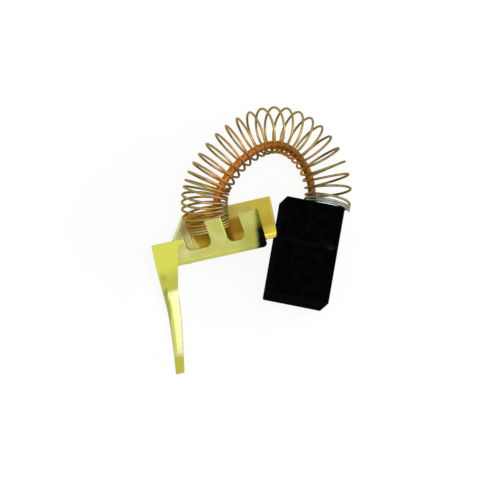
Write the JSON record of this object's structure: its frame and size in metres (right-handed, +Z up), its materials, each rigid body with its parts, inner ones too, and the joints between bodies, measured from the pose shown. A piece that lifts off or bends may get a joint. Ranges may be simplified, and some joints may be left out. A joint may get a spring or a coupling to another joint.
{
  "type": "carbon brush",
  "caption": "Rectangular carbon motor brush with a coil pressure spring around a braided copper lead, ending in a folded brass terminal clip with a long leg.",
  "frame": {"origin": "middle of the carbon block's broad face that lies on the table", "axes": "+Y from the contact end to the block's rear end and the spring, +X across the block, +Z up from the table"},
  "size_m": [0.0401, 0.058, 0.0207],
  "materials": {
    "carbon": "pressed carbon, dull black, slightly rubbed at the edges",
    "copper_powder": "tamped copper powder, dull",
    "copper_braid": "bare braided copper",
    "spring_wire": "tan drawn wire, satin",
    "brass_sheet": "stamped yellow brass, satin, darkened at one lower corner"
  },
  "bodies": {
    "root": {"carbon_block": "carbon", "tamping_plug": "copper_powder", "shunt_lead": "copper_braid", "pressure_spring": "spring_wire", "terminal_clip": "brass_sheet"}
  },
  "joints": []
}
